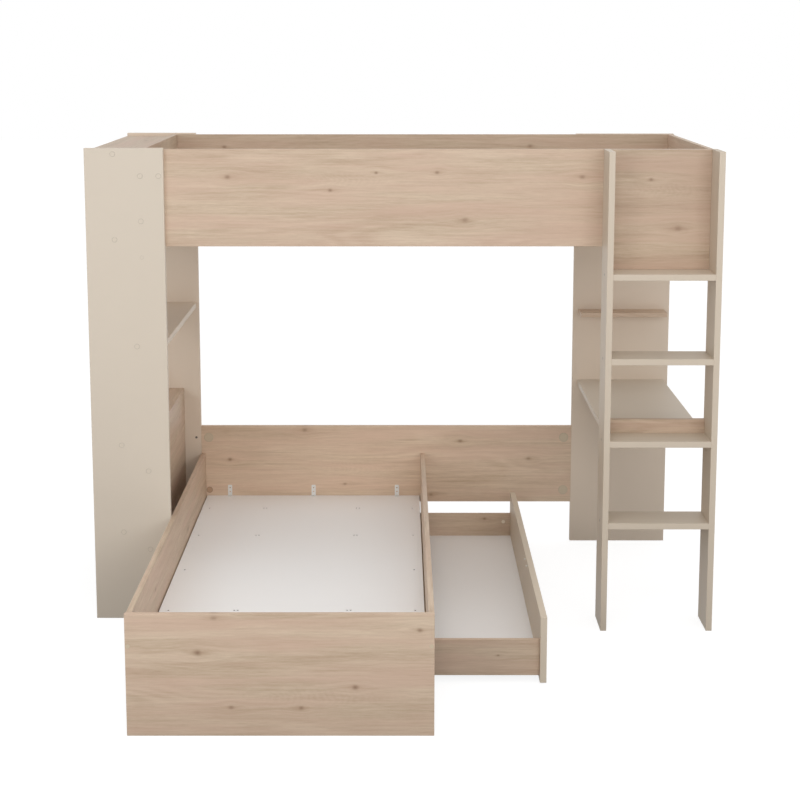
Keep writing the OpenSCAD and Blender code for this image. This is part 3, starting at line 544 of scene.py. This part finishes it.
# ---------------------------------------------------------------------------------------------
# Lower bed: a tall front board, two side rails and the low board that closes the back between the
# rear panels, all oak-patterned. The front board is screwed into the rails' ends under flush caps,
# and the low back board is held by bolts whose pockets have large caps.
# ---------------------------------------------------------------------------------------------
oak_panel("lower_front_board", "X", "Z", 11, ["cover_caps"],
          knots=[(0.224, 0.27, 0.011), (0.276, 0.382, 0.009), (0.711, 0.158, 0.009),
                 (0.326, 0.093, 0.008), (0.543, 0.091, 0.007), (0.911, 0.343, 0.008)],
          flames=[(0.72, 0.156, 0.07), (0.2, 0.235, 0.05)], heart=(0.603, 0.125, 0.2))
oak_panel("lower_rail_left", "Y", "Z", 12, knots=[(0.52, 0.15, 0.008), (1.4, 0.1, 0.009)],
          flames=[(0.56, 0.15, 0.06)], heart=(1.0, 0.12, 0.25))
oak_panel("lower_rail_right", "Y", "Z", 13, knots=[(0.9, 0.13, 0.008), (1.6, 0.08, 0.007)],
          flames=[(0.94, 0.128, 0.06)], heart=(0.45, 0.1, 0.2))
oak_panel("low_back_board", "X", "Z", 14, ["cover_caps"], tones=painted_light_oak,
          knots=[(0.442, 0.315, 0.01), (0.122, 0.186, 0.009), (1.108, 0.267, 0.009),
                 (0.614, 0.078, 0.007), (1.401, 0.19, 0.009), (0.984, 0.031, 0.008)],
          flames=[(0.889, 0.272, 0.05), (0.64, 0.077, 0.06)], heart=(0.674, 0.151, 0.15))
timber_bars("lower_base_supports", "Y", "X", 15)
panel("lower_base_panel", white_film, ["base_screws"], banded=False)

# ---------------------------------------------------------------------------------------------
# Ladder: two beige rails with four beige steps on dowels and connector screws, whose heads stay
# bare in the rails' outer faces. An oak-patterned board fills the space above the top step, and
# an oak-patterned strip stands on the step that is level with the desk.
# ---------------------------------------------------------------------------------------------
# The ladder's film is the beige made a little darker, as painted shade.
ladder_painted_shade_film = film_faced("ladder film with painted shade", rgb(208, 194, 176), 0.04, 0.5)
panel("ladder_rail_left", ladder_painted_shade_film, ["connector_screws"])
panel("ladder_rail_right", ladder_painted_shade_film, ["connector_screws"])
for step in ("ladder_step_1", "ladder_step_2", "ladder_step_3", "ladder_step_4"):
    panel(step, ladder_painted_shade_film)
oak_panel("ladder_upper_board", "X", "Z", 16, tones=painted_shade_oak,
          knots=[(0.146, 0.325, 0.007), (0.248, 0.148, 0.01)],
          flames=[(0.24, 0.15, 0.03)], heart=(0.2, 0.287, 0.12))
oak_panel("ladder_desk_strip", "X", "Z", 17, tones=painted_shade_oak, contrast=1.3)

# ---------------------------------------------------------------------------------------------
# Desk: a beige top between the ladder and a full-height beige leg panel, which also carries the
# upper bed's rear corner, and a small oak-patterned shelf on that panel.
# ---------------------------------------------------------------------------------------------
panel("desk_rear_panel", painted_bounce_film, ["cover_caps", "connector_screws", "barrel_nuts"])
panel("desk_top", beige_film, ["desk_cams"])
oak_panel("wall_shelf", "X", "Y", 18)

# ---------------------------------------------------------------------------------------------
# Cover caps: moulded discs in the boards' beige, pressed over the screw heads. The ones in view
# stand just proud of the face, with a bevelled rim and a shallow dish, and the others lie flush.
# The lower bed's caps are a greyer sand colour, except one, which is brown.
# Each cap's rim is darkened in its colour as painted shade.
# ---------------------------------------------------------------------------------------------
def turned(name, radius, height, steps):
    """A disc that stands on the origin along +Z. Each step takes its top face in and up."""
    start_alone()
    bpy.ops.mesh.primitive_cylinder_add(vertices=40, radius=radius, depth=height,
                                        location=(0, 0, height / 2))
    disc = bpy.context.object
    disc.name = name
    bpy.ops.object.transform_apply(location=True, rotation=True, scale=True)
    bpy.ops.object.mode_set(mode="EDIT")
    select_faces(lambda face: face.normal.z > 0.99)
    for inwards, upwards in steps:
        bpy.ops.mesh.inset(thickness=inwards, depth=upwards)
    bpy.ops.object.mode_set(mode="OBJECT")
    return disc


def gather(name, model_copies, look, nodes, body="frame"):
    """Joins the copies of small pieces into one that replaces its CAD nodes."""
    start_alone()
    for copy in model_copies:
        copy.select_set(True)
    whole = model_copies[0]
    bpy.context.view_layer.objects.active = whole
    if len(model_copies) > 1:
        bpy.ops.object.join()
    whole.name = name
    crisp(whole)
    whole.data.materials.clear()
    whole.data.materials.append(look)
    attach(whole, body)
    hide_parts(*nodes)


def copied(model, placing):
    """A copy of a model with its own mesh, put in place in the mesh itself."""
    twin = model.copy()
    twin.data = model.data.copy()
    twin.data.transform(placing)
    bpy.context.scene.collection.objects.link(twin)
    return twin


def moulded(name, colour, roughness, grit=0.00003, painted_rim_shade=1.0):
    """The finish of a moulded plastic piece. Where the piece marks its rim, the rim's colour is darkened
    as painted shade.
    """
    material = film_faced(name, colour, 0.03, roughness, grit)
    if painted_rim_shade < 1.0:
        tree = material.node_tree
        surface = tree.nodes["Principled BSDF"]
        plain = surface.inputs["Base Color"].links[0].from_socket
        # The marked rim takes a darker colour: painted shade.
        rim = add_node(tree, "ShaderNodeAttribute", attribute_name="rim").outputs["Fac"]
        shaded = tint(tree, rim, plain, [c * painted_rim_shade for c in colour[:3]] + [1.0])
        tree.links.new(shaded, surface.inputs["Base Color"])
    return material


raised_lip = 0.0009     # height of the rim of a cap that stands proud, which also sets its width
flush_lip = 0.0003
rim_from = 0.8          # share of the radius outside which a cap counts as rim, which gets painted shade
cap_models = {}


def cap_copies(carriers, test=lambda middle: True):
    """The cover caps of some boards, each a low disc with a dish and a bevelled rim, which it marks for
    painted shade.
    """
    copies = []
    for carrier in carriers:
        low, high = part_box(carrier)
        for cap_low, cap_high, axis, side in set_into("cover_caps", low, high):
            if not test((cap_low + cap_high) / 2):
                continue
            radius = (cap_high - cap_low)[axis - 1] / 2
            tall = (cap_high - cap_low)[axis]
            proud = (cap_high[axis] - high[axis]) if side > 0 else (low[axis] - cap_low[axis])
            kind = (round(radius, 4), round(tall, 4))
            if kind not in cap_models:
                lip = raised_lip if proud > 0.0005 else flush_lip
                model = turned("cap_model", radius, tall - lip, [
                    (lip * 0.3, lip * 0.5), (lip, lip * 0.35), (radius * 0.15, lip * 0.15),
                    (lip, -lip * 0.6)])
                # The rim mark tells the material where to paint shade.
                rim = model.data.attributes.new("rim", "FLOAT", "POINT")
                for vert, mark in zip(model.data.vertices, rim.data):
                    mark.value = 1.0 if Vector(vert.co.xy).length > radius * rim_from else 0.0
                cap_models[kind] = model
            copies.append(copied(cap_models[kind], stood_in(cap_low, cap_high, axis, side)))
    return copies


def is_brown(middle):
    """Whether a cap of the low back board is the brown one, low at the left."""
    low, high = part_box("low_back_board")
    return middle.x < (low + high).x / 2 and middle.z < (low + high).z / 2


beige_caps = cap_copies(["tower_front_panel", "tower_rear_panel", "desk_rear_panel"])
sand_caps = cap_copies(["lower_front_board"])
sand_caps += cap_copies(["low_back_board"], lambda middle: not is_brown(middle))
brown_caps = cap_copies(["low_back_board"], is_brown)
for model in cap_models.values():
    bpy.data.objects.remove(model)
beige_plastic = moulded("beige plastic", rgb(214, 202, 186), 0.4, painted_rim_shade=0.82)
gather("cover_caps_beige", beige_caps, beige_plastic, ["cover_caps"])
sand_plastic = moulded("sand plastic", rgb(203, 187, 163), 0.45, painted_rim_shade=0.93)
gather("cover_caps_sand", sand_caps, sand_plastic, ["cover_caps"])
brown_plastic = moulded("brown plastic", rgb(184, 152, 126), 0.45, painted_rim_shade=0.75)
gather("cover_cap_brown", brown_caps, brown_plastic, ["cover_caps"])

# ---------------------------------------------------------------------------------------------
# Screws, bolts, cams and nuts of the frame: zinc-plated steel and die-cast zinc. The base screws
# have countersunk heads with a cross recess, flush with the white panels. Of the others, the
# ladder's screw heads, the ends of the barrel nuts and the cams under the desk show.
# ---------------------------------------------------------------------------------------------
def plated(name, colour, roughness, metallic=1.0):
    """The finish of a plated metal piece: a slightly uneven sheen with fine tool marks."""
    material, tree, surface, place = shader_of(name)
    marks = stretched_noise(tree, place["Object"], (420, 420, 60), 3.0)
    patch = stretched_noise(tree, place["Object"], (60, 60, 60), 2.0)
    tree.links.new(tint(tree, patch, colour, [c * 0.82 for c in colour[:3]] + [1.0]),
                   surface.inputs["Base Color"])
    tree.links.new(maths(tree, "MULTIPLY_ADD", marks, 0.25, roughness - 0.12),
                   surface.inputs["Roughness"])
    relief(tree, surface, marks, 0.00002)
    surface.inputs["Metallic"].default_value = metallic
    return material


zinc = plated("zinc plate", rgb(150, 147, 141), 0.42)
dull_zinc = plated("dull zinc", rgb(74, 71, 67), 0.6, 0.6)
die_cast = plated("die-cast zinc", rgb(178, 177, 175), 0.45)


def dress(node, look):
    """Gives a CAD node that keeps its shape its finish."""
    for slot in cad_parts[node].material_slots:
        slot.material = look


for node in ("connector_screws", "face_screws", "cleat_screws", "corner_bolts", "desk_cam_bolts",
             "drawer_cam_bolts", "castor_screws"):
    dress(node, zinc)
dress("barrel_nuts", plated("nut zinc", rgb(120, 113, 106), 0.6, 0.3))
beech = grained("beech", "dowels", "X", "Z", 21,
                tones=(rgb(226, 200, 160), rgb(205, 172, 128), rgb(216, 184, 146)))
dress("dowels", beech)
dress("drawer_dowels", beech)


def cross_recess(head, top, reach, width, depth):
    """Sinks a cross-shaped driver recess into the top of a head that stands along +Z."""
    for turn_by in (0, pi / 2):
        start_alone()
        bpy.ops.mesh.primitive_cube_add(size=1, location=(0, 0, top))
        arm = bpy.context.object
        arm.scale = (reach, width, 2 * depth)
        arm.rotation_euler = (0, 0, turn_by)
        carve(head, arm)


shank_share = 0.45      # a base screw's shank, as a share of its head's radius
head_tall = 0.0024
screw_models = {}
base_screws = []
for low, high in solids_of("base_screws"):
    axis = turning_axis(low, high)
    radius = (high - low)[axis - 1] / 2
    tall = (high - low)[axis]
    side = 1 if axis == 2 else -1
    if round(radius, 4) not in screw_models:
        head = turned("screw_model", radius * shank_share, tall - head_tall, [
            (-radius * 0.53, 0.0016), (0.0001, 0.0006), (0.0003, 0.0002)])
        cross_recess(head, tall, radius * 1.25, radius * 0.28, 0.0012)
        screw_models[round(radius, 4)] = head
    base_screws.append(copied(screw_models[round(radius, 4)], stood_in(low, high, axis, side)))
for model in screw_models.values():
    bpy.data.objects.remove(model)
gather("base_screws_countersunk", base_screws, dull_zinc, ["base_screws"])

cam_models = {}


def cam_copies(node, carriers):
    """The cam discs of a node: each a low drum with a rim, a cross slot and a dished face."""
    copies = []
    for carrier in carriers:
        low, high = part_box(carrier)
        for cam_low, cam_high, axis, side in set_into(node, low, high):
            radius = (cam_high - cam_low)[axis - 1] / 2
            tall = (cam_high - cam_low)[axis]
            if "cam" not in cam_models:
                drum = turned("cam_model", radius, tall - 0.0003, [(0.0003, 0.0003), (0.0012, 0),
                                                                  (0.0004, -0.0005)])
                cross_recess(drum, tall - 0.0005, radius * 1.2, 0.0016, 0.0022)
                cam_models["cam"] = drum
            copies.append(copied(cam_models["cam"], stood_in(cam_low, cam_high, axis, side)))
    return copies


gather("desk_cams_cast", cam_copies("desk_cams", ["desk_top"]), die_cast, ["desk_cams"])

# ---------------------------------------------------------------------------------------------
# Base brackets: three small angle brackets of white-painted steel strip that fix the rear edge of
# the lower base to the low back board. Each is bent once, has its free ends rounded and is drilled
# twice in its upright leg and once in its foot. Two of the holes carry a screw.
# ---------------------------------------------------------------------------------------------
strip_t = 0.002
strip_corner = 0.004
strip_hole_r = 0.0032
leg_holes = (0.017, 0.034)   # heights above the foot's underside
foot_hole = 0.012            # distance in front of the low back board
brackets = []
for low, high in solids_of("base_brackets"):
    start_alone()
    bpy.ops.mesh.primitive_cube_add(size=1, location=(low + high) / 2)
    bracket = bpy.context.object
    bracket.scale = ((high - low).x, (high - low).y, strip_t)
    bracket.location.z = low.z + strip_t / 2
    bpy.ops.object.transform_apply(location=True, rotation=True, scale=True)
    bpy.ops.object.mode_set(mode="EDIT")
    bpy.ops.mesh.select_all(action="SELECT")
    bpy.ops.mesh.bisect(plane_co=(0, high.y - strip_t, 0), plane_no=(0, 1, 0))
    select_faces(lambda face: face.normal.z > 0.99 and face.calc_center_median().y > high.y - strip_t)
    bpy.ops.mesh.extrude_region_move(TRANSFORM_OT_translate={"value": (0, 0, high.z - low.z - strip_t)})
    bpy.ops.mesh.select_mode(type="EDGE")
    bpy.ops.mesh.select_all(action="DESELECT")
    shell = bmesh.from_edit_mesh(bracket.data)
    for edge in shell.edges:
        a, b = edge.verts[0].co, edge.verts[1].co
        at_top = min(a.z, b.z) > high.z - 1e-5 and abs(a.y - b.y) > strip_t / 2
        at_toe = max(a.y, b.y) < low.y + 1e-5 and abs(a.z - b.z) > strip_t / 2
        edge.select_set(at_top or at_toe)
    bmesh.update_edit_mesh(bracket.data)
    bpy.ops.mesh.bevel(offset=strip_corner, segments=5, affect="EDGES")
    bpy.ops.object.mode_set(mode="OBJECT")
    middle_x = (low + high).x / 2
    for hole_at, tilt in [((middle_x, high.y, low.z + height), pi / 2) for height in leg_holes] + [
            ((middle_x, high.y - foot_hole, low.z), 0)]:
        start_alone()
        bpy.ops.mesh.primitive_cylinder_add(vertices=32, radius=strip_hole_r, depth=4 * strip_t,
                                            location=hole_at, rotation=(tilt, 0, 0))
        carve(bracket, bpy.context.object)
    brackets.append(bracket)
gather("base_brackets_bent", brackets, plated("white enamel", rgb(240, 240, 238), 0.35, 0.0),
       ["base_brackets"])

# ---------------------------------------------------------------------------------------------
# Drawer: a long beige front on an oak-patterned box with a white bottom, held by cams and dowels.
# A batten stiffens the bottom from below, and two plastic studs on the front's inner face stop it
# against the bed's rail.
# ---------------------------------------------------------------------------------------------
stud_pin_r = 0.0025
stud_pin_l = 0.0085      # the part of a stud that sits in the board
drawer_film = film_faced("drawer film", rgb(212, 198, 179), 0.04, 0.5)
panel("drawer_front", drawer_film, ["drawer_bumpers"], "drawer", pin_r=stud_pin_r)
oak_panel("drawer_side_front", "X", "Z", 22, ["drawer_cams"], "drawer", knots=[(0.71, 0.07, 0.004)])
oak_panel("drawer_side_rear", "X", "Z", 23, ["drawer_cams"], "drawer", knots=[(0.74, 0.104, 0.007)])
oak_panel("drawer_back", "Y", "Z", 24, ["drawer_cams"], "drawer")
panel("drawer_bottom", white_film, (), "drawer", banded=False)
timber_bars("drawer_batten", "X", "Y", 25, "drawer")

light_plastic = moulded("light plastic", rgb(232, 222, 206), 0.45)
drawer_cams = cam_copies("drawer_cams", ["drawer_side_front", "drawer_side_rear", "drawer_back"])
gather("drawer_cams_moulded", drawer_cams, light_plastic, ["drawer_cams"], "drawer")
bpy.data.objects.remove(cam_models["cam"])

studs = []
for low, high in solids_of("drawer_bumpers"):
    stud = turned("stud", stud_pin_r, stud_pin_l,
                  [(-0.001, 0), (0.0001, 0.0048), (0.0006, 0.0008), (0.0012, 0.0004)])
    stud.data.transform(stood_in(low, high, 0, -1))
    studs.append(stud)
gather("drawer_studs", studs, moulded("white plastic", rgb(236, 232, 226), 0.4),
       ["drawer_bumpers"], "drawer")

# ---------------------------------------------------------------------------------------------
# Castors: four fixed castors under the drawer, each a pressed bracket with an axle and a moulded
# wheel that has a hub, a thin web and a rounded tread.
# ---------------------------------------------------------------------------------------------
castor_steel = plated("castor steel", rgb(156, 158, 161), 0.4)
dress("castor_brackets", castor_steel)
dress("castor_axles", zinc)

wheel_grey = moulded("wheel plastic", rgb(70, 72, 76), 0.5, 0.00005)
bore_r = 0.00306
hub_r = 0.007
web_half = 0.005
rim_in = 0.0035
tread_round = 0.002


def wheel(node):
    """A wheel spun from half its section about its own axle, which lies along Y."""
    low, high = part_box(node)
    centre = (low + high) / 2
    outer_r = (high - low).z / 2
    half = (high - low).y / 2
    section = [(bore_r, half), (hub_r - 0.0008, half), (hub_r, half - 0.0008),
               (hub_r + 0.0006, web_half), (outer_r - rim_in - 0.0008, web_half),
               (outer_r - rim_in, half - 0.002),
               (outer_r - tread_round, half - 0.001), (outer_r - 0.0005, half - 0.0018),
               (outer_r, half - 0.0035)]
    outline = section + [(r, -y) for r, y in reversed(section)]
    start_alone()
    bpy.ops.mesh.primitive_circle_add(vertices=len(outline), radius=outer_r)
    made = bpy.context.object
    made.name = node + "_moulded"
    for vert, (r, y) in zip(made.data.vertices, outline):
        vert.co = centre + Vector((r, y, 0))
    made.matrix_world = Matrix.Identity(4)
    bpy.ops.object.mode_set(mode="EDIT")
    bpy.ops.mesh.select_all(action="SELECT")
    bpy.ops.mesh.spin(steps=48, angle=2 * pi, center=centre, axis=(0, 1, 0))
    bpy.ops.mesh.select_all(action="SELECT")
    bpy.ops.mesh.remove_doubles(threshold=1e-5)
    bpy.ops.mesh.normals_make_consistent(inside=False)
    bpy.ops.object.mode_set(mode="OBJECT")
    crisp(made, radians(40))
    made.data.materials.append(wheel_grey)
    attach(made, node)
    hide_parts(node)


for node in ("wheel_front_inner", "wheel_front_outer", "wheel_rear_inner", "wheel_rear_outer"):
    wheel(node)

# ---------------------------------------------------------------------------------------------
# Studio: a wide white floor under a white surround that is brightest overhead, with three large
# soft lamps in front, left, right and high. The camera sees the floor and the surround as white,
# with a faint shadow, and the floor throws little light up where the object stands on it.
# ---------------------------------------------------------------------------------------------
# The surround's light from left and right, from front and back, and from below and above.
surround_light = ((0.3, 0.7), (0.25, 0.55), (0.0, 1.0))
floor_size = 60.0
shadow_share = 0.25       # how much of the floor's light the camera sees as shading
floor_glow = 0.86
covered_floor = (1.2, 3.4)   # from the middle, where the floor's bounced light starts and is full
bounce_share = (0.22, 0.8)   # how much light the floor throws back before and after that
lamp_size = 2.6
lamp_aim = (0, 0, 0.8)


def seen_ray(tree):
    """1 for rays that show a surface, by sight or in a reflection, and 0 for those that light it."""
    ray = add_node(tree, "ShaderNodeLightPath").outputs
    return maths(tree, "MAXIMUM", ray["Is Camera Ray"], maths(
        tree, "MAXIMUM", ray["Is Glossy Ray"], ray["Is Transmission Ray"]))


world = bpy.data.worlds.new("surround")
bpy.context.scene.world = world
world.use_nodes = True
sky = world.node_tree
sky.nodes.clear()
outlook = add_node(sky, "ShaderNodeSeparateXYZ", {
    0: add_node(sky, "ShaderNodeTexCoord").outputs["Generated"]}).outputs
lighting = 0.0
for part, (low_side, high_side) in zip(outlook, surround_light):
    beyond = maths(sky, "GREATER_THAN", part, 0.0)
    towards_it = add_node(sky, "ShaderNodeMix", {0: beyond, 2: low_side, 3: high_side}).outputs[0]
    lighting = maths(sky, "MULTIPLY_ADD", maths(sky, "MULTIPLY", part, part), towards_it, lighting)
strength = add_node(sky, "ShaderNodeMix", {0: seen_ray(sky), 2: lighting, 3: 1.0}).outputs[0]
light_out = add_node(sky, "ShaderNodeBackground", {"Color": (1, 1, 1, 1), "Strength": strength})
sky.links.new(light_out.outputs[0], add_node(sky, "ShaderNodeOutputWorld").inputs["Surface"])

start_alone()
bpy.ops.mesh.primitive_plane_add(size=floor_size, location=(0, 0, -0.0005))
floor = bpy.context.object
floor.name = "floor"
white_floor = bpy.data.materials.new("white floor")
white_floor.use_nodes = True
tree = white_floor.node_tree
tree.nodes.clear()
floor_spot = add_node(tree, "ShaderNodeTexCoord").outputs["Object"]
spread = add_node(tree, "ShaderNodeVectorMath", {0: floor_spot}, operation="LENGTH").outputs["Value"]
bounce = add_node(tree, "ShaderNodeMapRange", {
    0: spread, 1: covered_floor[0], 2: covered_floor[1],
    3: bounce_share[0], 4: bounce_share[1]}).outputs[0]
bounced = add_node(tree, "ShaderNodeBsdfDiffuse", {"Color": add_node(
    tree, "ShaderNodeCombineXYZ", {0: bounce, 1: bounce, 2: bounce}).outputs[0]}).outputs[0]
shaded = add_node(tree, "ShaderNodeBsdfDiffuse", {"Color": (shadow_share,) * 3 + (1,)}).outputs[0]
glow = add_node(tree, "ShaderNodeEmission", {"Color": (1, 1, 1, 1), "Strength": floor_glow}).outputs[0]
looked_at = add_node(tree, "ShaderNodeAddShader", {0: shaded, 1: glow}).outputs[0]
shown = add_node(tree, "ShaderNodeMixShader", {0: seen_ray(tree), 1: bounced, 2: looked_at}).outputs[0]
tree.links.new(shown, add_node(tree, "ShaderNodeOutputMaterial").inputs["Surface"])
floor.data.materials.append(white_floor)


def soft_lamp(name, place, power):
    """A square soft box that faces the middle of the bed."""
    data = bpy.data.lights.new(name, "AREA")
    data.shape = "SQUARE"
    data.size = lamp_size
    data.energy = power
    lamp = bpy.data.objects.new(name, data)
    lamp.location = place
    lamp.rotation_euler = (Vector(lamp_aim) - Vector(place)).to_track_quat("-Z", "Y").to_euler()
    lamp.visible_camera = False
    bpy.context.scene.collection.objects.link(lamp)


soft_lamp("left lamp", (-3.5, -6.0, 2.4), 77)
soft_lamp("right lamp", (2.5, -6.5, 2.4), 80)
soft_lamp("high lamp", (0, -5.5, 5.5), 90)

bpy.context.scene.view_settings.view_transform = "Standard"
